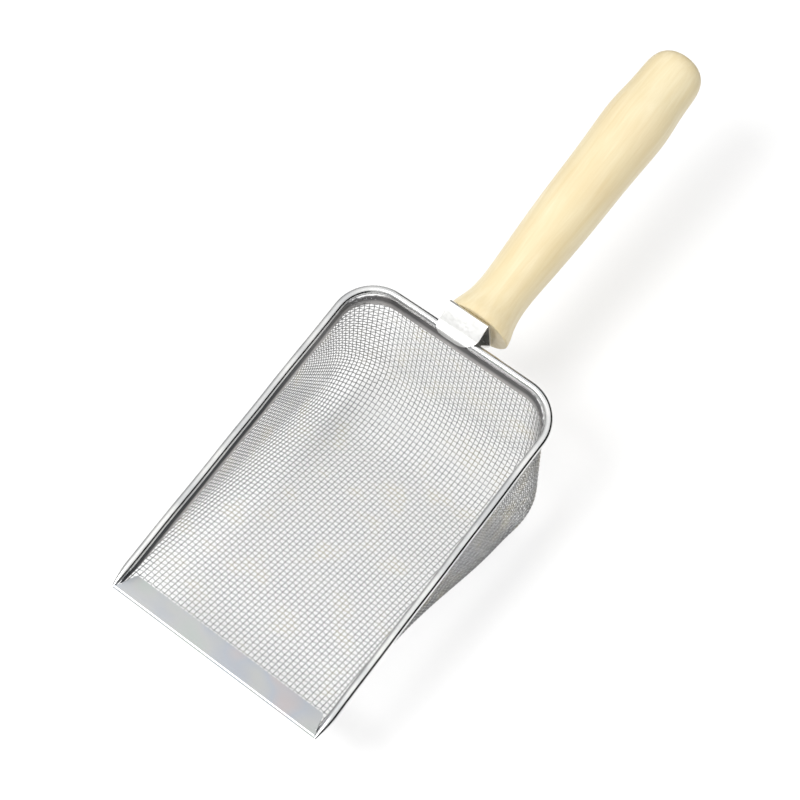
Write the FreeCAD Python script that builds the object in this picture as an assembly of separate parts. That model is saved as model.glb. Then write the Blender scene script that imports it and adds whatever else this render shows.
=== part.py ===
"""Beach sand scoop: woven wire bowl, sheet edge, wrapped bracket and turned wooden handle.

Millimetres. The scoop is drawn in its own rim frame: X across the bowl, Y from the lip to the
handle, Z up, with the lip's front edge at y = 0 and the centre of the rim bead at z = 0. It is
then tipped back so that the flat of the bowl lies on the floor.
"""
import FreeCAD, Part
import os
from math import atan2, cos, degrees, hypot, radians, sin, tan

os.makedirs("parts", exist_ok=True)

# Rim bead: thin sheet rolled into a hollow edge, open underneath for the mesh and the band.
rim_half_width = 55.0
rim_back = 173.3
bead_radius = 1.9
bead_wall = 0.5
bead_corner_radius = 18.0
bead_slit_inner = 1.75
bead_slit_outer = 0.55

# Wire basket, drawn as a thin shell the mean thickness of the woven wire.
mesh_half_width = 52.95
mesh_back = 171.25
mesh_thickness = 0.6
mesh_front = 3.0
mesh_top = -0.3
wall_draft_deg = 1.5
bowl_lean_deg = 5.5
floor_slope_deg = 27.0
floor_height_at_lip = 0.4
back_wall_deg = 74.0
heel_y = 129.0
heel_z = -64.0
heel_bend_radius = 24.0
back_bend_radius = 24.0
side_bend_radius = 22.0
side_bend_radius_at_front = 1.0

# Inner band: sheet strip inside the mesh, below the bead.
band_gap = 0.15
band_thickness = 0.5
band_depth = 6.2
band_front = 6.0

# Front lip: sheet folded in two over the mesh, with mitred ends.
lip_length = 10.0
lip_sheet = 0.5
lip_clearance = 0.1
lip_half_width_front = 53.2
lip_half_width_back = 48.5

# Handle bracket: one bent strip.
bracket_center_x = -2.7
bracket_width = 21.0
bracket_thickness = 1.0
bracket_corner_radius = 5.0
bracket_path = [(168.2, 0.6), (169.6, 2.2), (172.0, 2.5), (180.1, 8.3),
                (180.9, 7.4), (180.9, -14.4), (179.9, -14.9), (174.2, -2.6)]

# Handle: turned wood, given as distance from the lip and radius.
handle_axis_z = -4.5
handle_front = 181.5
handle_shape = [(182.0, 15.3), (184.5, 14.9), (189.0, 13.5), (195.0, 12.3), (202.0, 11.9),
                (215.0, 12.4), (230.0, 13.2), (250.0, 13.9), (276.0, 14.45), (290.0, 15.05),
                (299.0, 15.25), (306.0, 14.9), (313.0, 14.25), (323.0, 13.75), (329.0, 13.2),
                (332.8, 11.9), (335.6, 9.4), (337.0, 5.9), (337.4, 2.8)]
handle_tip = 337.5
pilot_radius = 2.0

# Handle screw: slotted pan head wood screw.
screw_head_radius = 3.8
screw_head_height = 2.2
screw_slot_width = 0.9
screw_slot_depth = 1.1
screw_core_radius = 1.35
screw_thread_radius = 1.9
screw_shank_length = 9.0
screw_thread_pitch = 1.8
screw_thread_turns = 13

# Resting pose: the rim rises toward the handle by this much.
rest_tilt_deg = 8.0

V = FreeCAD.Vector
X_AXIS = V(1, 0, 0)
Y_AXIS = V(0, 1, 0)


def box(x0, x1, y0, y1, z0, z1):
    """Box between two opposite corners."""
    return Part.makeBox(x1 - x0, y1 - y0, z1 - z0, V(x0, y0, z0))


def side_prism(outline, x0, x1):
    """Solid with a polygon of (y, z) points as its side view, from x0 to x1."""
    points = [V(x0, y, z) for y, z in outline]
    face = Part.Face(Part.makePolygon(points + points[:1]))
    return face.extrude(V(x1 - x0, 0, 0))


def plan_prism(outline, z0, z1):
    """Solid with a polygon of (x, y) points as its plan view, from z0 to z1."""
    points = [V(x, y, z0) for x, y in outline]
    face = Part.Face(Part.makePolygon(points + points[:1]))
    return face.extrude(V(0, 0, z1 - z0))


def bowl_outline(inset):
    """Corners of the bowl's side view, moved inward by inset: lip, heel front, heel back, rim."""
    slope = tan(radians(floor_slope_deg))
    tilt = tan(radians(rest_tilt_deg))
    lean = 1.0 / tan(radians(back_wall_deg))
    floor_z = floor_height_at_lip + inset / cos(radians(floor_slope_deg))
    heel_at_zero = heel_z + tilt * heel_y + inset / cos(radians(rest_tilt_deg))
    back_y = mesh_back - inset / sin(radians(back_wall_deg))
    top = 6.0
    heel_front_y = (floor_z - heel_at_zero) / (slope - tilt)
    heel_back_y = (back_y + lean * heel_at_zero) / (1.0 + lean * tilt)
    return [((floor_z - top) / slope, top),
            (heel_front_y, heel_at_zero - tilt * heel_front_y),
            (heel_back_y, heel_at_zero - tilt * heel_back_y),
            (back_y + lean * top, top)]


def bend(before, corner, after, radius):
    """Start, middle and end of the arc that rounds one corner of a (y, z) outline."""
    a = V(0, before[0] - corner[0], before[1] - corner[1]).normalize()
    b = V(0, after[0] - corner[0], after[1] - corner[1]).normalize()
    half = a.getAngle(b) / 2.0
    corner_point = V(0, corner[0], corner[1])
    middle_way = (a + b).normalize()
    center = corner_point + middle_way * (radius / sin(half))
    reach = radius / tan(half)
    return [corner_point + a * reach, center - middle_way * radius, corner_point + b * reach]


def bowl_block(inset):
    """The bowl as a solid block, moved inward by inset, with its side edges rounded."""
    lip, heel_front, heel_back, rim = bowl_outline(inset)
    first = bend(lip, heel_front, heel_back, heel_bend_radius - inset)
    second = bend(heel_front, heel_back, rim, back_bend_radius - inset)
    lip_point = V(0, lip[0], lip[1])
    rim_point = V(0, rim[0], rim[1])
    edges = [Part.makeLine(lip_point, first[0]),
             Part.Arc(first[0], first[1], first[2]).toShape(),
             Part.makeLine(first[2], second[0]),
             Part.Arc(second[0], second[1], second[2]).toShape(),
             Part.makeLine(second[2], rim_point),
             Part.makeLine(rim_point, lip_point)]
    face = Part.Face(Part.Wire(edges))
    block = face.extrude(V(200, 0, 0))
    block.translate(V(-100, 0, 0))
    left = tan(radians(bowl_lean_deg - wall_draft_deg))
    right = tan(radians(bowl_lean_deg + wall_draft_deg))
    half = mesh_half_width - inset
    section = [(-half + 90 * left, -90), (half + 90 * right, -90),
               (half - 9 * right, 9), (-half - 9 * left, 9)]
    points = [V(x, -40, z) for x, z in section]
    sides = Part.Face(Part.makePolygon(points + points[:1])).extrude(V(0, 300, 0))
    return round_sides(block.common(sides), first[0], inset)


def round_sides(block, floor_end, inset):
    """Round the long side edges; along the sloping floor the radius grows from the lip."""
    doc = FreeCAD.newDocument("bowl")
    base = doc.addObject("Part::Feature", "Base")
    base.Shape = block
    fillet = doc.addObject("Part::Fillet", "Rounded")
    fillet.Base = base
    big = side_bend_radius - inset
    small = side_bend_radius_at_front
    choices = []
    for number, edge in enumerate(block.Edges, 1):
        ends = [vertex.Point for vertex in edge.Vertexes]
        on_side = all(abs(end.x) > mesh_half_width - 9 for end in ends) and ends[0].x * ends[1].x > 0
        on_top = all(end.z > 5.9 for end in ends)
        if not on_side or on_top:
            continue
        sloping = any(end.z > 5.9 for end in ends) and any(end.y < 0 for end in ends)
        if not sloping:
            choices.append((number, big, big))
            continue
        start = edge.valueAt(edge.FirstParameter)
        choices.append((number, small, big) if start.y < 0 else (number, big, small))
    fillet.Edges = choices
    doc.recompute()
    rounded = fillet.Shape.copy()
    FreeCAD.closeDocument("bowl")
    return rounded


def make_mesh_basket():
    """Woven wire bowl as a thin shell, its edges inside the bead and the folded lip."""
    outer = bowl_block(-mesh_thickness / 2)
    inner = bowl_block(mesh_thickness / 2)
    above_rim = box(-90, 90, -40, 260, mesh_top, 40)
    ahead_of_lip = box(-90, 90, -60, mesh_front, -60, 60)
    return outer.cut(inner).cut(above_rim).cut(ahead_of_lip)


def make_inner_band():
    """Sheet strip inside the mesh; its lower edge climbs to the lip at each side."""
    near = mesh_thickness / 2 + band_gap
    outer = bowl_block(near)
    inner = bowl_block(near + band_thickness)
    lower = -band_depth
    outline = [(band_front, -1.4), (14.0, -4.0), (40.0, lower), (190.0, lower),
               (190.0, mesh_top), (band_front, mesh_top)]
    return outer.cut(inner).common(side_prism(outline, -90, 90))


def bead_section(radius_out, radius_in):
    """Ring section of the bead at the front of the left-hand side, before the slit is cut."""
    center = V(rim_half_width - bead_radius, 0, 0)
    outer = Part.Face(Part.Wire(Part.makeCircle(radius_out, center, Y_AXIS)))
    inner = Part.Face(Part.Wire(Part.makeCircle(radius_in, center, Y_AXIS)))
    return outer.cut(inner).Faces[0]


def swept_rim(section):
    """Carry a section along one side, round a corner, across the back and down the other."""
    turn_y = rim_back - bead_radius - bead_corner_radius
    turn_x = rim_half_width - bead_radius - bead_corner_radius
    side = section.extrude(V(0, turn_y, 0))
    corner_start = section.translated(V(0, turn_y, 0))
    corner = corner_start.revolve(V(turn_x, turn_y, 0), V(0, 0, 1), 90)
    back_start = section.translated(V(0, turn_y, 0))
    back_start.rotate(V(turn_x, turn_y, 0), V(0, 0, 1), 90)
    back = back_start.extrude(V(-2 * turn_x, 0, 0))
    pieces = [side, corner]
    mirrored = [piece.mirror(V(0, 0, 0), X_AXIS) for piece in pieces]
    return back.fuse(pieces + mirrored).removeSplitter()


def make_rim_bead():
    """Hollow rolled edge with a slit underneath, its front ends cut to points by the lip."""
    tube = swept_rim(bead_section(bead_radius, bead_radius - bead_wall))
    center_x = rim_half_width - bead_radius
    corners = [V(center_x - bead_slit_inner, 0, -3), V(center_x + bead_slit_outer, 0, -3),
               V(center_x + bead_slit_outer, 0, -0.2), V(center_x - bead_slit_inner, 0, -0.2)]
    slit = swept_rim(Part.Face(Part.makePolygon(corners + corners[:1])))
    front = lip_half_width_front + 0.3
    back = lip_half_width_back + 0.3
    lip_space = plan_prism([(-front - 0.5, -1), (front + 0.5, -1),
                            (back, lip_length), (-back, lip_length)], -8, 4)
    return tube.cut(slit).cut(lip_space)


def make_front_lip():
    """Sheet folded over the front edge of the mesh, both leaves on the floor's slope."""
    gap = mesh_thickness / 2 + lip_clearance
    outer = gap + lip_sheet
    leaf = lip_length / cos(radians(floor_slope_deg))
    nose = outer + 0.1
    half = lip_half_width_front
    body = box(-half, half, nose, leaf, -outer, outer)
    body = body.fuse(Part.makeCylinder(outer, 2 * half, V(-half, nose, 0), X_AXIS)).removeSplitter()
    hollow = box(-half - 1, half + 1, nose, leaf + 1, -gap, gap)
    hollow = hollow.fuse(Part.makeCylinder(gap, 2 * half + 2, V(-half - 1, nose, 0), X_AXIS))
    lip = body.cut(hollow.removeSplitter())
    lip.rotate(V(0, 0, 0), X_AXIS, -floor_slope_deg)
    lip.translate(V(0, 0, floor_height_at_lip))
    mitre = plan_prism([(-half, -2), (half, -2), (lip_half_width_back, lip_length + 1),
                        (-lip_half_width_back, lip_length + 1)], -20, 10)
    return lip.common(mitre)


def strip_along(path, x0, x1, thickness):
    """Bent strip: a slab along each leg of a (y, z) path and a round at each bend."""
    pieces = []
    for (y0, z0), (y1, z1) in zip(path, path[1:]):
        length = hypot(y1 - y0, z1 - z0)
        slab = box(x0, x1, 0, length, -thickness / 2, thickness / 2)
        slab.rotate(V(0, 0, 0), X_AXIS, degrees(atan2(z1 - z0, y1 - y0)))
        slab.translate(V(0, y0, z0))
        pieces.append(slab)
    for y, z in path[1:-1]:
        pieces.append(Part.makeCylinder(thickness / 2, x1 - x0, V(x0, y, z), X_AXIS))
    return pieces[0].fuse(pieces[1:]).removeSplitter()


def make_handle_bracket():
    """Strip that wraps the back of the bead, with a plate for the handle and a lower brace."""
    x0 = bracket_center_x - bracket_width / 2
    x1 = bracket_center_x + bracket_width / 2
    strip = strip_along(bracket_path, x0, x1, bracket_thickness)
    front = bracket_path[0][0] - 1.0
    plan = box(x0, x1, front, 190, -30, 30)
    corners = [edge for edge in plan.Edges
               if all(abs(vertex.Y - front) < 0.01 for vertex in edge.Vertexes)
               and abs(edge.Vertexes[0].Z - edge.Vertexes[1].Z) > 1]
    strip = strip.common(plan.makeFillet(bracket_corner_radius, corners))
    hole = Part.makeCylinder(pilot_radius + 0.1, 4, V(0, handle_front - 3, handle_axis_z), Y_AXIS)
    return strip.cut(hole)


def make_handle():
    """Turned handle with a flared front, a narrow waist, a swell and a rounded end."""
    axis = V(0, 0, handle_axis_z)
    points = [V(0, y, handle_axis_z + radius) for y, radius in handle_shape]
    tip = V(0, handle_tip, handle_axis_z)
    curve = Part.BSplineCurve()
    curve.interpolate(points)
    front_center = V(0, handle_front, handle_axis_z)
    front_edge = V(0, handle_front, handle_axis_z + handle_shape[0][1] - 0.5)
    edges = [Part.makeLine(front_center, front_edge),
             Part.makeLine(front_edge, points[0]),
             curve.toShape(),
             Part.makeLine(points[-1], tip),
             Part.makeLine(tip, front_center)]
    body = Part.Face(Part.Wire(edges)).revolve(axis, Y_AXIS, 360)
    depth = screw_shank_length + screw_thread_pitch * (screw_thread_turns + 3)
    pilot = Part.makeCylinder(pilot_radius, depth, V(0, handle_front - 1, handle_axis_z), Y_AXIS)
    return body.cut(pilot)


def make_handle_screw():
    """Wood screw: domed slotted head in front of the plate, shank, thread ridges and point."""
    seat = handle_front - bracket_thickness - 0.1
    head_top = seat - screw_head_height
    start = seat + screw_shank_length
    profile = [(head_top, 0), (head_top, 2.0), (head_top + 0.6, 3.2), (seat - 0.5, screw_head_radius),
               (seat, screw_head_radius), (seat, screw_thread_radius), (start, screw_thread_radius)]
    for turn in range(screw_thread_turns):
        y = start + turn * screw_thread_pitch
        profile.append((y + 0.45 * screw_thread_pitch, screw_core_radius))
        profile.append((y + screw_thread_pitch, screw_thread_radius))
    end = start + screw_thread_turns * screw_thread_pitch
    profile += [(end + 0.8, screw_core_radius), (end + 3.5, 0)]
    points = [V(0, y, handle_axis_z + radius) for y, radius in profile]
    face = Part.Face(Part.makePolygon(points + points[:1]))
    screw = face.revolve(V(0, 0, handle_axis_z), Y_AXIS, 360)
    slot = box(-5, 5, head_top - 1, head_top + screw_slot_depth,
               handle_axis_z - screw_slot_width / 2, handle_axis_z + screw_slot_width / 2)
    return screw.cut(slot)


parts = {
    "rim_bead": make_rim_bead(),
    "inner_band": make_inner_band(),
    "mesh_basket": make_mesh_basket(),
    "front_lip": make_front_lip(),
    "handle_bracket": make_handle_bracket(),
    "handle_screw": make_handle_screw(),
    "handle": make_handle(),
}

for shape in parts.values():
    shape.rotate(V(0, 0, 0), X_AXIS, rest_tilt_deg)
room = Part.makeCompound(list(parts.values())).optimalBoundingBox(False)
shift = V(-(room.XMin + room.XMax) / 2, -(room.YMin + room.YMax) / 2, -room.ZMin)
print("size", round(room.XLength, 2), round(room.YLength, 2), round(room.ZLength, 2))
print("shift", round(shift.x, 3), round(shift.y, 3), round(shift.z, 3))

for name, shape in parts.items():
    shape.translate(shift)
    solid = shape.Solids[0]
    print(name, solid.isValid(), len(shape.Solids), round(solid.Volume, 1))
    solid.exportStep("parts/" + name + ".step")
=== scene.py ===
# %% [markdown]
# A beach scoop is a bowl of woven wire with a sheet-metal edge and a turned wooden handle.
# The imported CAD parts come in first: they fix every size. Blender then adds what the CAD
# leaves plain, such as the wires themselves, the hand-rolled edge and the grain of the wood.

# %% Load the frame
from math import cos, pi, radians, sin, tan

import bmesh
import bpy
import numpy as np
from mathutils import Matrix, Vector


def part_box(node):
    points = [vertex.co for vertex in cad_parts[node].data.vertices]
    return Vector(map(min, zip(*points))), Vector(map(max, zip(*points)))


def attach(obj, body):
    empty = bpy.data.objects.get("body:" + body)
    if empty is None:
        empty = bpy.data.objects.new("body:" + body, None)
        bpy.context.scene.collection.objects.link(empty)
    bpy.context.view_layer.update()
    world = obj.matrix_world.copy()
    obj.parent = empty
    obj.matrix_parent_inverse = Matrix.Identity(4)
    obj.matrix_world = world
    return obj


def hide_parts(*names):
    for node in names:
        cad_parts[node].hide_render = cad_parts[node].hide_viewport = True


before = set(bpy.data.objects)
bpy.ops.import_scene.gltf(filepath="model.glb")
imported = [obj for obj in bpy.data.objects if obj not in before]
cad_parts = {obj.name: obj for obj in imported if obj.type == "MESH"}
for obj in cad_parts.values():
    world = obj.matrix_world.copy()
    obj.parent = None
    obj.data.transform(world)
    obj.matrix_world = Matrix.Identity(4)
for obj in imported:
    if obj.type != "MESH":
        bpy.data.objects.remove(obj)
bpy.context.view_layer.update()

print("frame nodes:", sorted(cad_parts))

# %% [markdown]
# The scoop is easiest to describe flat: X across, Y from the lip to the handle, Z up from the
# middle of the rim. It lies on the floor tipped back on its heel, so every new point goes
# through one matrix that tips it, moves it to the frame's origin and turns millimetres to metres.

# %% From the rim's own frame to the floor
MM = 0.001
REST_TILT = radians(8.0)
RIM_TO_FLOOR = Vector((-1.654, -167.479, 45.724))
TO_FLOOR = (Matrix.Scale(MM, 4) @ Matrix.Translation(RIM_TO_FLOOR)
            @ Matrix.Rotation(REST_TILT, 4, "X"))


def on_floor(points):
    """Rim-frame points in mm, as an array, turned into the frame's metres."""
    turned = np.asarray(points, float) @ np.array(TO_FLOOR.to_3x3()).T
    return turned + np.array(TO_FLOOR.translation)


def turned_only(directions):
    """Rim-frame directions turned with the scoop, not moved or scaled."""
    return np.asarray(directions, float) @ np.array(Matrix.Rotation(REST_TILT, 3, "X")).T


lip_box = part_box("front_lip")
lip_front = on_floor([0, 0, 0])[1]
print("lip front edge, CAD:", round(lip_box[0][1], 4), "m; matrix:", round(lip_front, 4), "m")

# %% [markdown]
# Materials are built from nodes, and a few helpers keep that short. One turns a colour picked
# in sRGB into the linear colour that the shader wants, and one adds a node with its settings
# and joins up its inputs. Noise works in metres here, so another turns the size of a patch in
# millimetres into the scale that draws it. Every pattern below starts from such a size.

# %% Material helpers


def linear(code):
    """sRGB hex such as 'F4E6BA' as linear RGBA."""
    values = [int(code[i:i + 2], 16) / 255 for i in (0, 2, 4)]
    return [v / 12.92 if v <= 0.04045 else ((v + 0.055) / 1.055) ** 2.4 for v in values] + [1.0]


def add(tree, kind, settings=None, **inputs):
    """Add a node; settings are its own fields, inputs are values or sockets to link.

    An input is called by its name, with _ for a space, or by its place, as i0, i1 and so on.
    """
    node = tree.nodes.new(kind)
    for name, value in (settings or {}).items():
        setattr(node, name, value)
    for name, value in inputs.items():
        key = int(name[1:]) if name[0] == "i" and name[1:].isdigit() else name.replace("_", " ")
        if isinstance(value, bpy.types.NodeSocket):
            tree.links.new(value, node.inputs[key])
        else:
            node.inputs[key].default_value = value
    return node


def new_material(name):
    """An empty node material with its output, ready for a Principled shader."""
    material = bpy.data.materials.new(name)
    material.use_nodes = True
    tree = material.node_tree
    tree.nodes.clear()
    return material, tree, tree.nodes.new("ShaderNodeOutputMaterial")


def ramp(tree, factor, stops):
    """Colour ramp between (position, hex) stops."""
    node = add(tree, "ShaderNodeValToRGB", Fac=factor)
    elements = node.color_ramp.elements
    while len(elements) < len(stops):
        elements.new(0.5)
    for element, (position, code) in zip(elements, stops):
        element.position = position
        element.color = linear(code)
    return node.outputs["Color"]


def patches(size):
    """Noise scale that makes patches about this many mm across."""
    return 1 / (size * MM)


print("patches 2.5 mm across need a noise scale of", round(patches(2.5)))

# %% [markdown]
# The sheet parts are zinc-plated steel, rolled thin and dulled by handling. Plain metal is one
# colour, so what the eye sees is its gloss: cloudy patches as wide as a fingertip, a finer
# speckle of bright and dull a millimetre across, and shallow dents that bend the reflections.

# %% Plated sheet


def plated_sheet(name, dark, light, rough_low, rough_high, dent=0.06):
    """Zinc-plated sheet: cloudy tint, uneven gloss, dents this many mm deep."""
    material, tree, output = new_material(name)
    place = add(tree, "ShaderNodeTexCoord").outputs["Object"]
    cloud = add(tree, "ShaderNodeTexNoise", Vector=place, Scale=patches(18.2), Detail=3.0).outputs["Fac"]
    speck = add(tree, "ShaderNodeTexNoise", Vector=place, Scale=patches(1.11), Detail=2.0).outputs["Fac"]
    tint = ramp(tree, cloud, [(0.35, dark), (0.65, light)])
    gloss = add(tree, "ShaderNodeMapRange", Value=speck, From_Min=0.3, From_Max=0.7,
                To_Min=rough_low, To_Max=rough_high)
    bumps = add(tree, "ShaderNodeTexNoise", Vector=place, Scale=patches(6.25), Detail=2.0).outputs["Fac"]
    relief = add(tree, "ShaderNodeBump", Height=bumps, Strength=1.0, Distance=dent * MM)
    shader = add(tree, "ShaderNodeBsdfPrincipled", Base_Color=tint, Metallic=1.0,
                 Roughness=gloss.outputs["Result"], Normal=relief.outputs["Normal"])
    tree.links.new(shader.outputs["BSDF"], output.inputs["Surface"])
    return material


rolled_zinc = plated_sheet("rolled_zinc_sheet", "D2D3D4", "F1F1EF", 0.14, 0.26)
bracket_zinc = plated_sheet("bracket_zinc_sheet", "DEDEDC", "F0F0EE", 0.32, 0.45)
screw_zinc = plated_sheet("screw_zinc_plate", "9C9DA0", "C4C4C6", 0.25, 0.40)
print("sheet materials:", [m.name for m in (rolled_zinc, bracket_zinc, screw_zinc)])

# %% [markdown]
# The strip behind the rim is the same plated sheet, with painted shade that makes it darkest
# where it tucks in under the roll, in the crease kept from the light. The painted shade goes by
# each point's depth below the rim, with the scoop's tilt taken out first, and thins toward the back.

# %% Band finish with painted shade
CREASE_BLACK, CREASE_UNSHADED, CREASE_RAGGED = -2.2, -4.0, 1.6
THINS_FROM, THINS_TO, THINNED = 100.0, 150.0, 0.72


def painted_shade_band_sheet():
    """Grey plated strip with painted shade, black in the crease under the rolled rim."""
    material, tree, output = new_material("painted_shade_band_sheet")
    place = add(tree, "ShaderNodeTexCoord").outputs["Object"]
    back_to_rim = add(tree, "ShaderNodeMapping", {"vector_type": "TEXTURE"}, Vector=place,
                      Location=RIM_TO_FLOOR * MM, Rotation=(REST_TILT, 0.0, 0.0)).outputs["Vector"]
    parts = add(tree, "ShaderNodeSeparateXYZ", Vector=back_to_rim)
    cloud = add(tree, "ShaderNodeTexNoise", Vector=place, Scale=patches(11.1), Detail=3.0).outputs["Fac"]
    # Painted shade: black in the crease under the roll, ragged at its edge, thinner toward the back.
    uneven = add(tree, "ShaderNodeMath", {"operation": "MULTIPLY_ADD"}, i0=cloud,
                 i1=CREASE_RAGGED * MM, i2=parts.outputs["Z"])
    crease = add(tree, "ShaderNodeMapRange", Value=uneven.outputs[0], From_Min=CREASE_UNSHADED * MM,
                 From_Max=CREASE_BLACK * MM, To_Min=0.0, To_Max=1.0).outputs["Result"]
    fading = add(tree, "ShaderNodeMapRange", Value=parts.outputs["Y"], From_Min=THINS_FROM * MM,
                 From_Max=THINS_TO * MM, To_Min=1.0, To_Max=THINNED).outputs["Result"]
    painted_shade = add(tree, "ShaderNodeMath", {"operation": "MULTIPLY"}, i0=crease, i1=fading)
    unshaded = ramp(tree, cloud, [(0.35, "B4B2B2"), (0.65, "CFCBC9")])
    tint = add(tree, "ShaderNodeMix", {"data_type": "RGBA"}, Factor=painted_shade.outputs[0],
               i6=unshaded, i7=linear("24262A"))
    shader = add(tree, "ShaderNodeBsdfPrincipled", Base_Color=tint.outputs[2], Metallic=1.0,
                 Roughness=0.36)
    tree.links.new(shader.outputs["BSDF"], output.inputs["Surface"])
    return material


band_zinc = painted_shade_band_sheet()
print("band:", band_zinc.name, "is black down to", -CREASE_BLACK, "mm and clean from", -CREASE_UNSHADED)

# %% [markdown]
# The folded lip shows the zinc's faint rainbow: broad, weak patches of green, blue and pink
# in a satin grey. A coarse noise picks along a ramp of those tints, and the same noise dents
# the sheet a little, as folding by hand does.

# %% Lip finish
LIP_DENT = 0.2


def tinted_lip_sheet():
    """Satin zinc with weak green, blue and pink patches."""
    material, tree, output = new_material("tinted_lip_sheet")
    place = add(tree, "ShaderNodeTexCoord").outputs["Object"]
    patch = add(tree, "ShaderNodeTexNoise", Vector=place, Scale=patches(20.8), Detail=1.0).outputs["Fac"]
    tint = ramp(tree, patch, [(0.30, "E8F0EB"), (0.45, "ECEEEE"), (0.58, "E3E8F0"), (0.72, "F0E9EA")])
    speck = add(tree, "ShaderNodeTexNoise", Vector=place, Scale=patches(1.43), Detail=2.0).outputs["Fac"]
    gloss = add(tree, "ShaderNodeMapRange", Value=speck, From_Min=0.3, From_Max=0.7,
                To_Min=0.36, To_Max=0.5)
    relief = add(tree, "ShaderNodeBump", Height=patch, Strength=1.0, Distance=LIP_DENT * MM)
    shader = add(tree, "ShaderNodeBsdfPrincipled", Base_Color=tint, Metallic=1.0,
                 Roughness=gloss.outputs["Result"], Normal=relief.outputs["Normal"])
    tree.links.new(shader.outputs["BSDF"], output.inputs["Surface"])
    return material


lip_zinc = tinted_lip_sheet()
print("lip:", lip_zinc.name, "with dents", LIP_DENT, "mm deep")

# %% [markdown]
# The wire is drawn steel with a thin zinc coat. It is duller than the sheet and a little
# yellower in places, so its tint varies slowly over the bowl. The stiffer warp wire is given
# a darker grey than the softer weft wire. That darker grey is painted shade, so the warp lines read as the
# darker set.

# %% Wire finish


def drawn_wire(name, cool, plain, warm):
    """Galvanised wire: grey metal, slow warm and cool patches, gloss that changes as finely."""
    material, tree, output = new_material(name)
    place = add(tree, "ShaderNodeTexCoord").outputs["Object"]
    slow = add(tree, "ShaderNodeTexNoise", Vector=place, Scale=patches(14.3), Detail=2.0).outputs["Fac"]
    tint = ramp(tree, slow, [(0.35, cool), (0.55, plain), (0.7, warm)])
    fine = add(tree, "ShaderNodeTexNoise", Vector=place, Scale=patches(0.4), Detail=1.0).outputs["Fac"]
    gloss = add(tree, "ShaderNodeMapRange", Value=fine, From_Min=0.3, From_Max=0.7,
                To_Min=0.28, To_Max=0.46)
    shader = add(tree, "ShaderNodeBsdfPrincipled", Base_Color=tint, Metallic=1.0,
                 Roughness=gloss.outputs["Result"])
    tree.links.new(shader.outputs["BSDF"], output.inputs["Surface"])
    return material


# The warp's darker grey is painted shade.
warp_zinc = drawn_wire("galvanised_warp_wire", "929395", "9C9C9B", "A7A396")
weft_zinc = drawn_wire("galvanised_weft_wire", "BABBBD", "C2C2C1", "CAC5B6")
print("wire materials:", warp_zinc.name, "and", weft_zinc.name)

# %% [markdown]
# The handle is pale wood, turned, sanded and thinly varnished: soft streaks under a wide, mild
# highlight. Grain runs along the handle, so the noise is drawn out along it. The noise is
# tipped with the handle first, or the streaks would run off its side.

# %% Varnished wood
ALONG_GRAIN = 0.06


def pale_turned_wood():
    """Cream wood with faint long grain, soft colour clouds and a thin satin varnish."""
    material, tree, output = new_material("pale_turned_wood")
    place = add(tree, "ShaderNodeTexCoord").outputs["Object"]
    straight = add(tree, "ShaderNodeMapping", {"vector_type": "POINT"}, Vector=place,
                   Rotation=(-REST_TILT, 0.0, 0.0)).outputs["Vector"]
    drawn_out = add(tree, "ShaderNodeMapping", Vector=straight,
                    Scale=(1.0, ALONG_GRAIN, 1.0)).outputs["Vector"]
    grain = add(tree, "ShaderNodeTexNoise", Vector=drawn_out, Scale=patches(2.38), Detail=5.0,
                Roughness=0.62, Distortion=0.4).outputs["Fac"]
    pores = add(tree, "ShaderNodeTexNoise", Vector=drawn_out, Scale=patches(0.385),
                Detail=2.0).outputs["Fac"]
    cloud = add(tree, "ShaderNodeTexNoise", Vector=straight, Scale=patches(35.7),
                Detail=2.0).outputs["Fac"]
    streaks = ramp(tree, grain, [(0.30, "E3D5B0"), (0.5, "E7DBBB"), (0.68, "ECE2C6")])
    clouds = ramp(tree, cloud, [(0.35, "F8EACB"), (0.65, "FDF6E0")])
    tint = add(tree, "ShaderNodeMix", {"data_type": "RGBA", "blend_type": "MULTIPLY"}, Factor=0.5,
               i6=streaks, i7=clouds)
    gloss = add(tree, "ShaderNodeMapRange", Value=grain, From_Min=0.3, From_Max=0.7,
                To_Min=0.48, To_Max=0.36)
    relief = add(tree, "ShaderNodeBump", Height=pores, Strength=0.35, Distance=0.08 * MM)
    shader = add(tree, "ShaderNodeBsdfPrincipled", Base_Color=tint.outputs[2], Metallic=0.0,
                 Roughness=gloss.outputs["Result"], Normal=relief.outputs["Normal"],
                 Coat_Weight=0.25, Coat_Roughness=0.3)
    tree.links.new(shader.outputs["BSDF"], output.inputs["Surface"])
    return material


handle_wood = pale_turned_wood()
print("handle:", handle_wood.name, "with streaks", round(1 / ALONG_GRAIN), "times longer than wide")

# %% [markdown]
# Every CAD piece gets its finish, also those that new pieces stand in for further down. The
# lip, the screw and the handle have the right shape already and stay as they are.

# %% Finish the CAD pieces
CAD_FINISH = {
    "rim_bead": rolled_zinc, "inner_band": band_zinc, "mesh_basket": weft_zinc,
    "front_lip": lip_zinc, "handle_bracket": bracket_zinc,
    "handle_screw": screw_zinc, "handle": handle_wood,
}
for node, finish in CAD_FINISH.items():
    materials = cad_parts[node].data.materials
    materials.clear()
    materials.append(finish)
    print(node, "->", finish.name)

# %% [markdown]
# The bowl's shape comes from one side view: a straight floor sloping down from the lip, a
# short heel that lies on the floor, and a back wall that climbs to the rim. Corners are
# rounded by arcs. Here it is sampled finely, so any distance along it gives a point and a
# direction into the bowl.

# %% Side view of the bowl
FLOOR_SLOPE = radians(27.0)
BACK_WALL = radians(74.0)
FLOOR_AT_LIP = 0.4
HEEL_Y, HEEL_Z = 129.0, -64.0
MESH_BACK = 171.25
MESH_FRONT = 3.0
HEEL_BEND, BACK_BEND = 24.0, 24.0
FINE_STEPS = 1200


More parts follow.
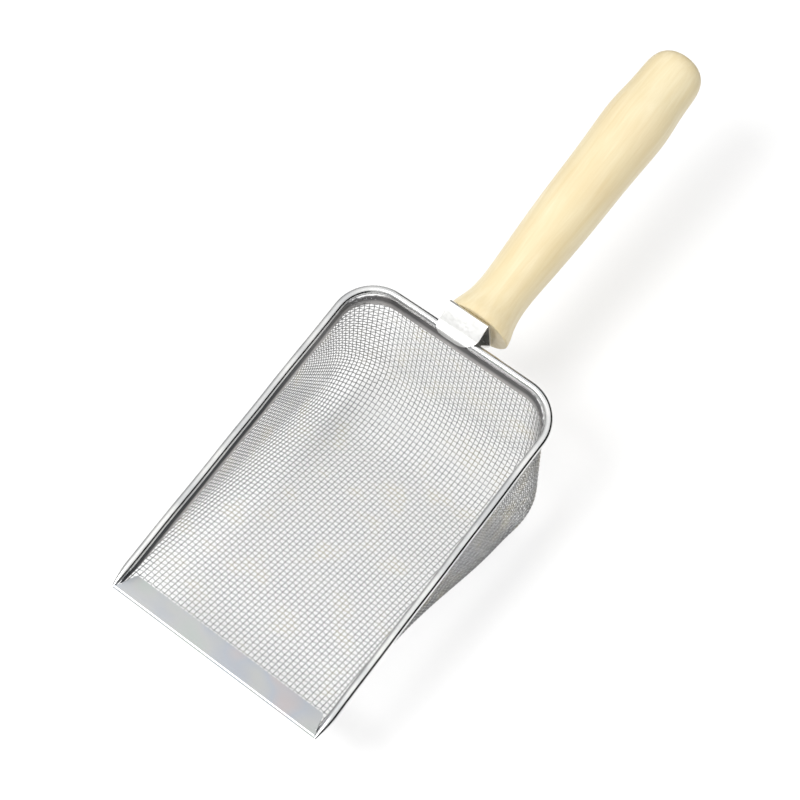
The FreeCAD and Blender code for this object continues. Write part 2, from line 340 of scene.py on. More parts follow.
def arc_between(before, corner, after, radius, steps=24):
    """Points of the arc that rounds a corner of the side view."""
    a = (before - corner) / np.linalg.norm(before - corner)
    b = (after - corner) / np.linalg.norm(after - corner)
    half = np.arccos(a @ b) / 2
    center = corner + (a + b) / np.linalg.norm(a + b) * radius / sin(half)
    start, end = corner + a * radius / tan(half) - center, corner + b * radius / tan(half) - center
    turn = np.linspace(0, 1, steps + 1)[:, None]
    sweep = pi - 2 * half
    return center + (np.sin((1 - turn) * sweep) * start + np.sin(turn * sweep) * end) / sin(sweep)


def side_view():
    """Corner points of the side view, then the rounded line as dense points."""
    slope, lean, tilt = tan(FLOOR_SLOPE), 1 / tan(BACK_WALL), tan(REST_TILT)
    heel_at_zero = HEEL_Z + tilt * HEEL_Y
    front_y = (FLOOR_AT_LIP - heel_at_zero) / (slope - tilt)
    back_y = (MESH_BACK + lean * heel_at_zero) / (1 + lean * tilt)
    lip = np.array((MESH_FRONT, FLOOR_AT_LIP - slope * MESH_FRONT))
    heel_front = np.array((front_y, heel_at_zero - tilt * front_y))
    heel_back = np.array((back_y, heel_at_zero - tilt * back_y))
    rim = np.array((MESH_BACK, 0.0))
    first = arc_between(lip, heel_front, heel_back, HEEL_BEND)
    second = arc_between(heel_front, heel_back, rim, BACK_BEND)
    return first[0], np.vstack([[lip], first, second, [rim]])


slope_end, side_line = side_view()
side_run = np.r_[0, np.cumsum(np.linalg.norm(np.diff(side_line, axis=0), axis=1))]
SLOPE_LENGTH = side_run[1]
fine_run = np.linspace(0, side_run[-1], FINE_STEPS)
fine_line = np.c_[np.interp(fine_run, side_run, side_line[:, 0]),
                  np.interp(fine_run, side_run, side_line[:, 1])]
fine_way = np.gradient(fine_line, axis=0)
fine_way /= np.linalg.norm(fine_way, axis=1)[:, None]
print("side view is", round(side_run[-1], 1), "mm long; slope ends at", slope_end.round(1))

# %% [markdown]
# Across, the bowl is a flat floor that bends up into side walls. The bend is tight at the lip
# and opens out toward the heel, and the deep end leans a little to one side, as hand-pressed
# cloth does. The surface is kept as one rule: how far inside it a point is. Zero is the cloth.

# %% Cross shape of the bowl
MESH_HALF = 52.95
LEFT_WALL_IN = tan(radians(4.0))
RIGHT_WALL_AT_LIP, RIGHT_WALL_AT_HEEL = tan(radians(-5.0)), tan(radians(7.0))
LEAN_FROM, LEAN_TO = 34.0, 112.0
SIDE_BEND, SIDE_BEND_AT_LIP = 22.0, 1.0
BEND_START = -11.0
LOOK_EVERY = 3
way_in = np.c_[-fine_way[:, 1], fine_way[:, 0]]


def side_bend(y):
    """Radius of the bend between floor and wall, growing from the lip to the heel."""
    share = np.clip((y - BEND_START) / (slope_end[0] - BEND_START), 0, 1)
    return SIDE_BEND_AT_LIP + (SIDE_BEND - SIDE_BEND_AT_LIP) * share


def inside(points):
    """How far inside the cloth each point is, in mm; zero on the cloth."""
    x, yz = points[:, 0], points[:, 1:]
    gap = yz[:, None, :] - fine_line[None, ::LOOK_EVERY, :]
    nearest = np.argmin((gap ** 2).sum(2), axis=1)
    floor_gap = (gap[np.arange(len(x)), nearest] * way_in[::LOOK_EVERY][nearest]).sum(1)
    back = np.clip((yz[:, 0] - LEAN_FROM) / (LEAN_TO - LEAN_FROM), 0, 1)
    eased = back * back * (3 - 2 * back)
    right_out = RIGHT_WALL_AT_LIP + (RIGHT_WALL_AT_HEEL - RIGHT_WALL_AT_LIP) * eased
    right = (MESH_HALF - right_out * yz[:, 1] - x) / np.hypot(1, right_out)
    left = (MESH_HALF + LEFT_WALL_IN * yz[:, 1] + x) / np.hypot(1, LEFT_WALL_IN)
    wall_gap = np.minimum(right, left)
    bend = side_bend(yz[:, 0])
    return bend - np.hypot(np.maximum(bend - floor_gap, 0), np.maximum(bend - wall_gap, 0))


def inward_normals(points):
    """Unit direction into the bowl at points on the cloth."""
    step = 0.25
    slopes = [inside(points + shift) - inside(points - shift) for shift in step * np.eye(3)]
    normals = np.stack(slopes, axis=1)
    return normals / np.linalg.norm(normals, axis=1)[:, None]


middle_of_bowl = np.array([[0.0, LEAN_TO, -10.0]])
print("10 mm below the rim, mid-bowl, the cloth is", round(float(inside(middle_of_bowl)[0]), 1), "mm away")

# %% [markdown]
# Pressing flat cloth into a bowl drags it: a weft wire that crosses the floor at one place
# meets the rim nearer the lip, and the crossings on the walls are pulled out of square. Each
# weft is taken as the cut of the bowl by a tilted plane, from its place on the rim down to its
# place on the floor. Rays fan out in that plane from a hub between the rims, and halving finds
# where each one meets the cloth. Crossings are then stepped off along it, one pitch apart.

# %% Weft wires as plane cuts
PITCH = 2.2
MESH_TOP = -0.6
RIM_DRAG = 0.74
RIM_END = 150.0
HUB_HEIGHT = 0.3
LONGEST_REACH, HALVINGS = 130.0, 18
FIRST_WEFT, LAST_GAP = 0.3, 0.5


def rim_place(run):
    """How far back a weft meets the rim, from how far along the middle it crosses."""
    on_slope = MESH_FRONT + RIM_DRAG * min(run, SLOPE_LENGTH)
    share = max(run - SLOPE_LENGTH, 0) / (side_run[-1] - SLOPE_LENGTH)
    return on_slope + share * (RIM_END - MESH_FRONT - RIM_DRAG * SLOPE_LENGTH)


def weft_curve(run, steps=140):
    """Dense points of one weft from the left rim to the right, and distances from the middle."""
    middle = np.array([0.0, np.interp(run, fine_run, fine_line[:, 0]),
                       np.interp(run, fine_run, fine_line[:, 1])])
    start = np.array([0.0, rim_place(run), HUB_HEIGHT])
    down = (middle - start) / np.linalg.norm(middle - start)
    angle = np.linspace(pi, 0, 2 * steps + 1)
    ways = np.cos(angle)[:, None] * np.array([1.0, 0, 0]) + np.sin(angle)[:, None] * down
    near, far = np.zeros(len(angle)), np.full(len(angle), LONGEST_REACH)
    for _ in range(HALVINGS):
        half = (near + far) / 2
        within = inside(start + ways * half[:, None]) > 0
        near, far = np.where(within, half, near), np.where(within, far, half)
    points = start + ways * near[:, None]
    length = np.r_[0, np.cumsum(np.linalg.norm(np.diff(points, axis=0), axis=1))]
    return points, length - length[steps]


def cut_at_top(points, reach):
    """Keep the part of a weft below the rim, with a cut point at each end."""
    low = np.flatnonzero(points[:, 2] < MESH_TOP)
    first, last = low[0], low[-1]
    ends = []
    for inner, outer in ((first, first - 1), (last, last + 1)):
        share = (MESH_TOP - points[inner, 2]) / (points[outer, 2] - points[inner, 2])
        ends.append((points[inner] + share * (points[outer] - points[inner]),
                     reach[inner] + share * (reach[outer] - reach[inner])))
    kept = np.vstack([[ends[0][0]], points[first:last + 1], [ends[1][0]]])
    return kept, np.r_[ends[0][1], reach[first:last + 1], ends[1][1]]


def woven_rows():
    """One row per weft: its crossings by number, and its two rim ends."""
    climb = slice(FINE_STEPS // 2, None)
    last_run = np.interp(MESH_TOP - 0.05, fine_line[climb, 1], fine_run[climb])
    rows = []
    for run in np.r_[np.arange(FIRST_WEFT, last_run - LAST_GAP, PITCH), last_run]:
        points, reach = cut_at_top(*weft_curve(run))
        numbers = np.arange(int(np.ceil(reach[0] / PITCH)), int(np.floor(reach[-1] / PITCH)) + 1)
        places = np.stack([np.interp(numbers * PITCH, reach, points[:, k]) for k in range(3)], axis=1)
        rows.append({"numbers": numbers, "places": places, "reach": (reach[0], reach[-1]),
                     "ends": (points[0], points[-1])})
    return rows


rows = woven_rows()
print(len(rows), "wefts,", sum(len(row["numbers"]) for row in rows), "crossings")

# %% [markdown]
# A warp wire joins the crossings of one number from row to row. It comes out of the rim where
# the rows grow wide enough and goes back into it where they narrow again, so it also gets an
# end point on the rim, between the row that has it and the row that hasn't.

# %% Lines of crossings


def lifted(number, order, over):
    """+1 where this wire passes over, -1 where it passes under."""
    return over * (1.0 - 2.0 * ((number + order) % 2))


def weft_lines_of(rows):
    """Weft wires as point and lift arrays."""
    lines = []
    for order, row in enumerate(rows[:-1]):
        points = np.vstack([[row["ends"][0]], row["places"], [row["ends"][1]]])
        lift = np.r_[0.0, lifted(row["numbers"], order, -1.0), 0.0]
        lines.append((points, lift))
    return lines


def rim_point(rows, here, there, number):
    """Where a warp meets the rim between two rows, never quite on the row that has it."""
    side = 1 if number > 0 else 0
    near, far = rows[here]["reach"][side], rows[there]["reach"][side]
    share = np.clip((near - number * PITCH) / (near - far), 0.02, 1)
    return rows[here]["ends"][side] * (1 - share) + rows[there]["ends"][side] * share


def warp_lines_of(rows):
    """Warp wires as point and lift arrays; a wire that leaves the bowl and returns is two."""
    lines = []
    lowest = min(row["numbers"][0] for row in rows)
    highest = max(row["numbers"][-1] for row in rows)
    for number in range(lowest, highest + 1):
        points, lift = [], []
        for order in range(len(rows) + 1):
            held = rows[order]["numbers"] if order < len(rows) else []
            if number in held:
                if not points and order > 0:
                    points.append(rim_point(rows, order, order - 1, number))
                    lift.append(0.0)
                points.append(rows[order]["places"][number - held[0]])
                lift.append(lifted(number, order, 1.0))
            elif points:
                if order < len(rows):
                    points.append(rim_point(rows, order - 1, order, number))
                    lift.append(0.0)
                if len(points) > 2:
                    lines.append((np.array(points), np.array(lift)))
                points, lift = [], []
    return lines


weft_lines, warp_lines = weft_lines_of(rows), warp_lines_of(rows)
print(len(warp_lines), "warp and", len(weft_lines), "weft wires")

# %% [markdown]
# Geometry Nodes turn each line into a wire. The tree lifts every crossing along its normal,
# bends a smooth curve through the crossings and sweeps a small round section along it. Its
# inputs are the wire's real sizes, so a coarser or finer cloth is one number away.

# %% Node tree for one set of wires


def wire_tree():
    """Node group: lines of crossings in, round crimped wires out."""
    tree = bpy.data.node_groups.new("crimped_wire", "GeometryNodeTree")
    face = tree.interface
    face.new_socket("Geometry", in_out="INPUT", socket_type="NodeSocketGeometry")
    for name, value in (("Wire diameter", 0.00045), ("Crimp height", 0.0002)):
        face.new_socket(name, in_out="INPUT", socket_type="NodeSocketFloat").default_value = value
    for name, value in (("Sides", 5), ("Steps", 3)):
        face.new_socket(name, in_out="INPUT", socket_type="NodeSocketInt").default_value = value
    face.new_socket("Finish", in_out="INPUT", socket_type="NodeSocketMaterial")
    face.new_socket("Geometry", in_out="OUTPUT", socket_type="NodeSocketGeometry")
    given = tree.nodes.new("NodeGroupInput").outputs
    lift = add(tree, "GeometryNodeInputNamedAttribute", {"data_type": "FLOAT"}, Name="lift")
    inward = add(tree, "GeometryNodeInputNamedAttribute", {"data_type": "FLOAT_VECTOR"}, Name="inward")
    height = add(tree, "ShaderNodeMath", {"operation": "MULTIPLY"},
                 i0=lift.outputs["Attribute"], i1=given["Crimp height"])
    offset = add(tree, "ShaderNodeVectorMath", {"operation": "SCALE"},
                 i0=inward.outputs["Attribute"], Scale=height.outputs[0])
    moved = add(tree, "GeometryNodeSetPosition", Geometry=given["Geometry"], Offset=offset.outputs[0])
    curve = add(tree, "GeometryNodeMeshToCurve", Mesh=moved.outputs[0])
    smooth = add(tree, "GeometryNodeCurveSplineType", {"spline_type": "CATMULL_ROM"},
                 Curve=curve.outputs[0])
    steps = add(tree, "GeometryNodeSetSplineResolution", Geometry=smooth.outputs[0],
                Resolution=given["Steps"])
    radius = add(tree, "ShaderNodeMath", {"operation": "MULTIPLY"}, i0=given["Wire diameter"], i1=0.5)
    ring = add(tree, "GeometryNodeCurvePrimitiveCircle", {"mode": "RADIUS"},
               Resolution=given["Sides"], Radius=radius.outputs[0])
    swept = add(tree, "GeometryNodeCurveToMesh", Curve=steps.outputs[0],
                Profile_Curve=ring.outputs["Curve"], Fill_Caps=True)
    soft = add(tree, "GeometryNodeSetShadeSmooth", i0=swept.outputs[0])
    real = add(tree, "GeometryNodeRealizeInstances", i0=soft.outputs[0])
    done = add(tree, "GeometryNodeSetMaterial", i0=real.outputs[0], Material=given["Finish"])
    tree.links.new(done.outputs[0], tree.nodes.new("NodeGroupOutput").inputs[0])
    return tree


crimped_wire = wire_tree()
print("inputs:", [item.name for item in crimped_wire.interface.items_tree if item.in_out == "INPUT"])

# %% [markdown]
# A tree works on an object through a modifier. Its inputs are set by identifier, because that is
# what the modifier stores. The result is copied out as a plain mesh and the modifier taken off.

# %% Run a tree over a mesh


def made_by_nodes(name, mesh, tree, values):
    """Run a tree over a mesh with named input values and return the plain result."""
    source = bpy.data.objects.new(name + "_lines", mesh)
    bpy.context.collection.objects.link(source)
    modifier = source.modifiers.new(name, "NODES")
    modifier.node_group = tree
    for item in tree.interface.items_tree:
        if item.item_type == "SOCKET" and item.in_out == "INPUT" and item.name in values:
            modifier[item.identifier] = values[item.name]
    bpy.context.view_layer.update()
    result = bpy.data.meshes.new_from_object(
        source.evaluated_get(bpy.context.evaluated_depsgraph_get()))
    source.modifiers.remove(modifier)
    bpy.data.objects.remove(source)
    piece = bpy.data.objects.new(name, result)
    bpy.context.collection.objects.link(piece)
    return piece


# %% [markdown]
# What the tree gets is only points and edges, with two facts at each crossing: which way is into
# the bowl, and whether this wire passes over or under there. The cloth is raised a little into
# the bowl, so that the crowns of the lowest wires rest on the floor.

# %% Lines for the tree
CLOTH_RAISED = 0.23


def line_mesh(name, lines):
    """Mesh of loose edges, raised off the floor, carrying each crossing's inward normal and lift."""
    points = np.vstack([line[0] for line in lines])
    normals = inward_normals(points)
    edges, first = [], 0
    for line, _ in lines:
        edges += [(first + k, first + k + 1) for k in range(len(line) - 1)]
        first += len(line)
    mesh = bpy.data.meshes.new(name)
    mesh.from_pydata(on_floor(points + CLOTH_RAISED * normals).tolist(), edges, [])
    inward = mesh.attributes.new("inward", "FLOAT_VECTOR", "POINT")
    inward.data.foreach_set("vector", turned_only(normals).ravel())
    lift = mesh.attributes.new("lift", "FLOAT", "POINT")
    lift.data.foreach_set("value", np.concatenate([line[1] for line in lines]))
    return mesh


# %% [markdown]
# The cloth goes in as four pieces, the warp and the weft of each half, to keep every piece
# light. The warp is the stiffer wire and stays nearly straight, while the weft does most of
# the bending, as in most woven cloth.

# %% Make the wires
WIRE_DIAMETER = {"warp": 0.36, "weft": 0.43}
CRIMP_HEIGHT = {"warp": 0.12, "weft": 0.30}
WIRE_FINISH = {"warp": warp_zinc, "weft": weft_zinc}
wire_pieces = []
for family, lines in (("warp", warp_lines), ("weft", weft_lines)):
    share = len(lines) // 2
    for half, some in (("a", lines[:share]), ("b", lines[share:])):
        name = "mesh_" + family + "_" + half
        piece = made_by_nodes(name, line_mesh(name, some), crimped_wire,
                              {"Wire diameter": WIRE_DIAMETER[family] * MM,
                               "Crimp height": CRIMP_HEIGHT[family] * MM, "Sides": 5, "Steps": 3,
                               "Finish": WIRE_FINISH[family]})
        piece.data.calc_loop_triangles()
        print(name, "triangles:", len(piece.data.loop_triangles))
        wire_pieces.append(piece)
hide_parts("mesh_basket")
for piece in wire_pieces:
    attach(piece, "root")

# %% [markdown]
# The rim is one strip of sheet rolled by hand round the edge of the cloth, so it is a hollow
# curl with its seam underneath, a little uneven along its length, and drawn out to a point
# where it meets the lip. A curl-shaped outline is carried along the edge's path.

# %% Rim path
BEAD_HALF, BEAD_BACK = 53.1, 171.4
BEAD_RADIUS, BEAD_SHEET, BEAD_CORNER = 1.9, 0.45, 18.0


def rim_path(half, back, corner, front=0.0, step=1.6):
    """Points, outward directions and distances along the edge, left tip to right tip."""
    turns = np.linspace(0, pi / 2, 18)
    side_y = np.arange(front, back - corner, step)
    arc = np.c_[-(half - corner) - corner * np.cos(turns), back - corner + corner * np.sin(turns)]
    across = np.arange(-(half - corner) + step, 0.01, step)
    side, rear = np.c_[np.full(len(side_y), -half), side_y], np.c_[across, np.full(len(across), back)]
    left = np.vstack([side, arc, rear])
    ends_mid_way = abs(left[-1, 0]) <= 0.3
    right = (left[-2::-1] if ends_mid_way else left[::-1]) * [-1, 1]
    plan = np.vstack([left, right])
    way = np.gradient(plan, axis=0)
    way /= np.linalg.norm(way, axis=1)[:, None]
    run = np.r_[0, np.cumsum(np.linalg.norm(np.diff(plan, axis=0), axis=1))]
    return plan, np.c_[-way[:, 1], way[:, 0]], run


def sweep_mesh(name, rings, finish, smooth_below=50.0):
    """Closed tube through rings of rim-frame points, capped, made into a riding piece."""
    count, sides = rings.shape[:2]
    faces = []
    for here in range(0, (count - 1) * sides, sides):
        there = here + sides
        faces += [(here + j, here + (j + 1) % sides, there + (j + 1) % sides, there + j)
                  for j in range(sides)]
    faces += [tuple(range(sides))[::-1], tuple((count - 1) * sides + j for j in range(sides))]
    mesh = bpy.data.meshes.new(name)
    mesh.from_pydata(on_floor(rings.reshape(-1, 3)).tolist(), [], faces)
    build = bmesh.new()
    build.from_mesh(mesh)
    bmesh.ops.recalc_face_normals(build, faces=build.faces)
    if build.calc_volume(signed=True) < 0:
        bmesh.ops.reverse_faces(build, faces=build.faces)
    print(name, "volume:", round(build.calc_volume() * 1e9, 1), "mm3;", len(build.faces), "faces")
    build.to_mesh(mesh)
    build.free()
    mesh.shade_smooth()
    mesh.set_sharp_from_angle(angle=radians(smooth_below))
    mesh.materials.append(finish)
    piece = bpy.data.objects.new(name, mesh)
    bpy.context.collection.objects.link(piece)
    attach(piece, "root")
    return piece


# %% [markdown]
# The curl's size is eased down to a point over the last twelve millimetres at each end, and it
# wanders by a tenth of a millimetre along the way, as a hand-rolled edge does.

# %% Rolled rim
SEAM_FROM, SEAM_TO = radians(-158.0), radians(-72.0)
CURL_POINTS = 30
TIP_LENGTH, TIP_SIZE, TIP_TURNED_IN = 12.0, 0.25, 0.5
WAVE, LONG_WAVE, SHORT_WAVE = 0.12, 17.0, 6.3
plan, outward, run = rim_path(BEAD_HALF, BEAD_BACK, BEAD_CORNER)
curl_turn = np.linspace(SEAM_TO, SEAM_FROM + 2 * pi, CURL_POINTS)
curl_circle = np.c_[np.cos(curl_turn), np.sin(curl_turn)]
curl = np.vstack([curl_circle * BEAD_RADIUS, (curl_circle * (BEAD_RADIUS - BEAD_SHEET))[::-1]])
from_tip = np.minimum(run, run[-1] - run)
ease = np.clip(from_tip / TIP_LENGTH, 0, 1)
size = TIP_SIZE + (1 - TIP_SIZE) * np.sin(ease * pi / 2)
wander = WAVE * (0.6 * np.sin(run / LONG_WAVE + 0.6) + 0.4 * np.sin(run / SHORT_WAVE + 2.0))
rings = np.zeros((len(plan), len(curl), 3))
for k in range(len(plan)):
    across = curl[:, 0] * size[k] + wander[k] * size[k] - TIP_TURNED_IN * (1 - size[k])
    rings[k, :, :2] = plan[k] + outward[k] * across[:, None]
    rings[k, :, 2] = curl[:, 1] * size[k] + 0.5 * wander[k]
rim_piece = sweep_mesh("rolled_rim", rings, rolled_zinc)
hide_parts("rim_bead")

# %% [markdown]
# Inside the cloth a narrow strip backs up the rolled edge. It follows the cloth along the
# sides, stands off it by half a millimetre round the back corners, where flat strip won't bend
# both ways at once, and its lower edge tapers away toward the lip.

# %% Inner band
BAND_HALF, BAND_BACK, BAND_CORNER = 51.7, 169.8, 17.0
BAND_SHEET, BAND_DEPTH = 0.5, 6.2
BAND_FRONT, BAND_TOP, LEVELS = 2.6, -0.5, 5
TAPER_AT, TAPER_DEPTH = [BAND_FRONT, 6.0, 14.0, 40.0], [0.9, 2.4, 4.6, BAND_DEPTH]
CORNER_GAP, GAP_LEFT_BELOW = 0.5, 0.35
CORNER_WRINKLE, WRINKLES_PER_MM = 0.12, 1.9
CORNER_TOP_DIP, CORNER_DEEPER = 0.5, 0.25
plan, outward, run = rim_path(BAND_HALF, BAND_BACK, BAND_CORNER, front=BAND_FRONT)
rings = np.zeros((len(plan), 2 * LEVELS, 3))
for k, (x, y) in enumerate(plan):
    depth = np.interp(y, TAPER_AT, TAPER_DEPTH)
    aside, rearward = abs(outward[k])
    diagonal = 2 * aside * rearward
    leave = CORNER_GAP * diagonal ** 1.5 + CORNER_WRINKLE * diagonal * sin(run[k] * WRINKLES_PER_MM)
    levels = np.linspace(BAND_TOP - CORNER_TOP_DIP * diagonal, -depth - CORNER_DEEPER * diagonal, LEVELS)
    wall_in = (LEFT_WALL_IN if x < 0 else 0.0) * aside + rearward / tan(BACK_WALL)
    inner = -leave * np.linspace(1.0, GAP_LEFT_BELOW, LEVELS) + wall_in * levels
    rings[k, :LEVELS, :2] = plan[k] + outward[k] * inner[:, None]
    rings[k, LEVELS:, :2] = plan[k] + outward[k] * (inner - BAND_SHEET)[::-1, None]
    rings[k, :LEVELS, 2], rings[k, LEVELS:, 2] = levels, levels[::-1]
band_piece = sweep_mesh("backing_band", rings, band_zinc, 35.0)
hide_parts("inner_band")

# %% [markdown]
# The bracket is one strip of sheet. Its front end is cut round, it lies on the rolled rim,
# climbs to the handle's face, folds down flat against the wood and comes back up under the
# rim. Real bends have a radius, so the strip's middle line is rounded at every fold.

# %% Bracket strip
STRIP = [(168.0, 0.9), (169.4, 2.3), (172.2, 2.75), (180.0, 8.1), (180.9, 7.0),
         (180.9, -14.2), (180.0, -14.7), (174.2, -2.6)]
STRIP_LEFT, STRIP_RIGHT, STRIP_SHEET = -13.2, 6.9, 1.0
LEFT_CORNER, RIGHT_CORNER = 4.5, 8.5
STRIP_COLUMNS, STRIP_CROWN = 12, 0.07
LONGEST_BEND = 1.6
ROUND_FRONT, FRONT_STEPS = 2.0, 9


def rounded_line(points, share=0.42, steps=6):
    """A polyline with each corner swapped for a short quadratic bend."""
    points = np.asarray(points, float)
    line = [points[0]]
    for before, corner, after in zip(points, points[1:], points[2:]):
        into, out_of = np.linalg.norm(corner - before), np.linalg.norm(after - corner)
        reach = min(share * into, share * out_of, LONGEST_BEND)
        start = corner + (before - corner) / into * reach
        end = corner + (after - corner) / out_of * reach
        turn = np.linspace(0, 1, steps + 1)[:, None]
        line += list((1 - turn) ** 2 * start + 2 * turn * (1 - turn) * corner + turn ** 2 * end)
    return np.array(line + [points[-1]])


fold = rounded_line(STRIP)
fold_run = np.r_[0, np.cumsum(np.linalg.norm(np.diff(fold, axis=0), axis=1))]
later = fold_run[(fold_run > ROUND_FRONT + 0.05) & (fold_run != RIGHT_CORNER)]
stations = np.r_[np.linspace(0, ROUND_FRONT, FRONT_STEPS), later]
fold = np.c_[np.interp(stations, fold_run, fold[:, 0]), np.interp(stations, fold_run, fold[:, 1])]
fold_way = np.gradient(fold, stations, axis=0)
fold_way /= np.linalg.norm(fold_way, axis=1)[:, None]
fold_up = np.c_[-fold_way[:, 1], fold_way[:, 0]]
across_share = np.linspace(-1, 1, STRIP_COLUMNS)
crown = STRIP_CROWN * (1 - across_share ** 2)
rings = np.zeros((len(fold), 2 * STRIP_COLUMNS, 3))
cut_back = [radius - np.sqrt(radius ** 2 - np.maximum(radius - stations, 0) ** 2)
            for radius in (LEFT_CORNER, RIGHT_CORNER)]
for k in range(len(fold)):
    left_edge, right_edge = STRIP_LEFT + cut_back[0][k], STRIP_RIGHT - cut_back[1][k]
    for side, columns in ((1, slice(0, STRIP_COLUMNS)), (-1, slice(STRIP_COLUMNS, None))):
        offset = side * STRIP_SHEET / 2 + crown
        width = (right_edge - left_edge) * across_share * side
        rings[k, columns, 0] = (left_edge + right_edge + width) / 2
        rings[k, columns, 1] = fold[k, 0] + fold_up[k, 0] * offset
        rings[k, columns, 2] = fold[k, 1] + fold_up[k, 1] * offset
bracket_piece = sweep_mesh("wrapped_bracket", rings, bracket_zinc, 40.0)
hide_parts("handle_bracket")

# %% [markdown]
# The floor is a plain pale sheet. It glows a little, as paper lit from behind does, so that the
# shadow on it stays pale. It isn't part of the object.

# %% Floor
FLOOR_HALF, FLOOR_GLOW = 6.0, 0.47
floor_mesh = bpy.data.meshes.new("studio_floor")
corners = [(-FLOOR_HALF, -FLOOR_HALF, 0), (FLOOR_HALF, -FLOOR_HALF, 0),
           (FLOOR_HALF, FLOOR_HALF, 0), (-FLOOR_HALF, FLOOR_HALF, 0)]
floor_mesh.from_pydata(corners, [], [(0, 1, 2, 3)])
floor = bpy.data.objects.new("studio_floor", floor_mesh)
bpy.context.collection.objects.link(floor)
paper, paper_tree, paper_out = new_material("studio_paper")
paper_noise = add(paper_tree, "ShaderNodeTexNoise", Scale=patches(333.0),
                  Vector=add(paper_tree, "ShaderNodeTexCoord").outputs["Object"])
paper_tint = ramp(paper_tree, paper_noise.outputs["Fac"], [(0.3, "BDBDBD"), (0.7, "C0C0C0")])
paper_shader = add(paper_tree, "ShaderNodeBsdfPrincipled", Base_Color=paper_tint, Roughness=0.9,
                   Specular_IOR_Level=0.1, Emission_Color=(1.0, 1.0, 1.0, 1.0),
                   Emission_Strength=FLOOR_GLOW)
paper_tree.links.new(paper_shader.outputs["BSDF"], paper_out.inputs["Surface"])
floor_mesh.materials.append(paper)
print("floor is", 2 * FLOOR_HALF, "m square")

# %% [markdown]
# Light is a white room, brighter overhead than at the horizon, so round metal shows a bright
# middle and grey edges. Only the lighting has that slope: where the camera looks past the floor
# it sees plain white.

# %% Room light
world = bpy.data.worlds.new("white_room")
bpy.context.scene.world = world
world.use_nodes = True
HORIZON, OVERHEAD = 0.38, 1.08
room = world.node_tree
height = add(room, "ShaderNodeSeparateXYZ", Vector=add(room, "ShaderNodeTexCoord").outputs["Generated"])
rise = add(room, "ShaderNodeMapRange", Value=height.outputs["Z"], From_Min=0.0, From_Max=1.0,
           To_Min=HORIZON, To_Max=OVERHEAD)
room_light = room.nodes["Background"]
room_light.inputs["Color"].default_value = (1.0, 1.0, 1.0, 1.0)
seen = add(room, "ShaderNodeLightPath").outputs["Is Camera Ray"]
strength = add(room, "ShaderNodeMix", {"data_type": "FLOAT"}, Factor=seen,
               A=rise.outputs["Result"], B=1.0)
room.links.new(strength.outputs[0], room_light.inputs["Strength"])
print("room light from", HORIZON, "at the horizon to", OVERHEAD, "overhead")

# %% [markdown]
# Bright metal in a white room looks flat, so a studio stands dark card round it: the card shows
# only in the metal, as a dark line down one side of every tube and wire. Here it is a low ring
# round the scoop that stands tall on the right, and it takes part in reflections and nothing
# else.

# %% Dark card
CARD_PROFILE = [(0.28, 0.004), (0.45, 0.012), (0.70, 0.05), (0.80, 0.30), (0.80, 0.70)]
CARD_SPLITS, CARD_START = 48, -60.0
TALL_SHARE, LOW_ROWS = 0.46, 2
card_points, card_faces = [], []
for k in range(CARD_SPLITS + 1):
    turned = radians(CARD_START + 360.0 * k / CARD_SPLITS)
    card_points += [(radius * cos(turned), radius * sin(turned), z) for radius, z in CARD_PROFILE]
column = len(CARD_PROFILE)
for k in range(CARD_SPLITS):
    here, there = column * k, column * (k + 1)
    height = column - 1 if k < CARD_SPLITS * TALL_SHARE else LOW_ROWS
    card_faces += [(here + j, there + j, there + j + 1, here + j + 1) for j in range(height)]
card_mesh = bpy.data.meshes.new("dark_card")
card_mesh.from_pydata(card_points, [], card_faces)
card = bpy.data.objects.new("dark_card", card_mesh)
bpy.context.collection.objects.link(card)
felt, felt_tree, felt_out = new_material("black_felt")
felt_noise = add(felt_tree, "ShaderNodeTexNoise", Scale=patches(25.0),
                 Vector=add(felt_tree, "ShaderNodeTexCoord").outputs["Object"])
felt_tint = ramp(felt_tree, felt_noise.outputs["Fac"], [(0.3, "060606"), (0.7, "0A0A0A")])
felt_shader = add(felt_tree, "ShaderNodeBsdfPrincipled", Roughness=0.95, Specular_IOR_Level=0.0,
                  Base_Color=felt_tint)
felt_tree.links.new(felt_shader.outputs["BSDF"], felt_out.inputs["Surface"])
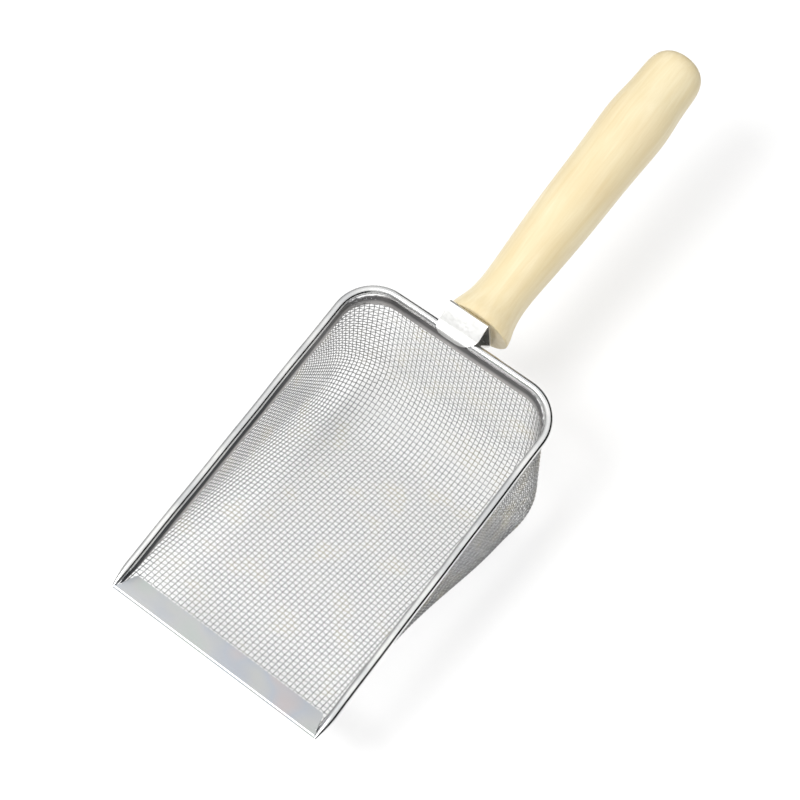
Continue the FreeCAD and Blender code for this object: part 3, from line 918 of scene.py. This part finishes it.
card_mesh.materials.append(felt)
for ray_kind in ("camera", "diffuse", "shadow", "transmission", "volume_scatter"):
    setattr(card, "visible_" + ray_kind, False)
print("dark card has", len(card_faces), "faces and reaches", CARD_PROFILE[-1][1], "m up")

# %% [markdown]
# One soft box high on the left and in front gives the pale shadow. A box as wide as the scoop is
# long keeps the edge of that shadow soft.

# %% Key light
BOX_PLACE, BOX_TARGET = (-0.37, -0.67, 1.35), (0.0, 0.0, 0.03)
BOX_SIDE, BOX_WATTS = 0.45, 12.0
key_light = bpy.data.lights.new("key_box", "AREA")
key_light.shape = "RECTANGLE"
key_light.size, key_light.size_y, key_light.energy = BOX_SIDE, BOX_SIDE, BOX_WATTS
key_box = bpy.data.objects.new("key_box", key_light)
key_box.location = BOX_PLACE
key_box.rotation_euler = (Vector(BOX_TARGET) - Vector(BOX_PLACE)).to_track_quat("-Z", "Y").to_euler()
bpy.context.collection.objects.link(key_box)
print("key box is", round((Vector(BOX_TARGET) - Vector(BOX_PLACE)).length, 2), "m from the scoop")

# %% [markdown]
# The camera looks down from in front and to the right, with a long lens. Its place and its
# three directions are given in the rim's frame and turned with everything else.

# %% Camera
CAMERA_PLACE = (210.6, -64.3, 788.4)
CAMERA_RIGHT = (0.7968, 0.6005, -0.0674)
CAMERA_DOWN = (0.5468, -0.7640, -0.3425)
lens = bpy.data.cameras.new("long_lens")
lens.lens, lens.sensor_width = 90.0, 36.0
lens.clip_start, lens.clip_end = 0.05, 30.0
camera = bpy.data.objects.new("camera", lens)
bpy.context.collection.objects.link(camera)
right = Vector(turned_only(CAMERA_RIGHT)).normalized()
up = -Vector(turned_only(CAMERA_DOWN))
up = (up - up.dot(right) * right).normalized()
back = right.cross(up)
turn = Matrix((right, up, back)).transposed().to_4x4()
camera.matrix_world = Matrix.Translation(Vector(on_floor(CAMERA_PLACE))) @ turn
bpy.context.scene.camera = camera
bpy.context.scene.view_settings.view_transform = "Standard"
print("camera at", [round(v, 3) for v in camera.matrix_world.translation])
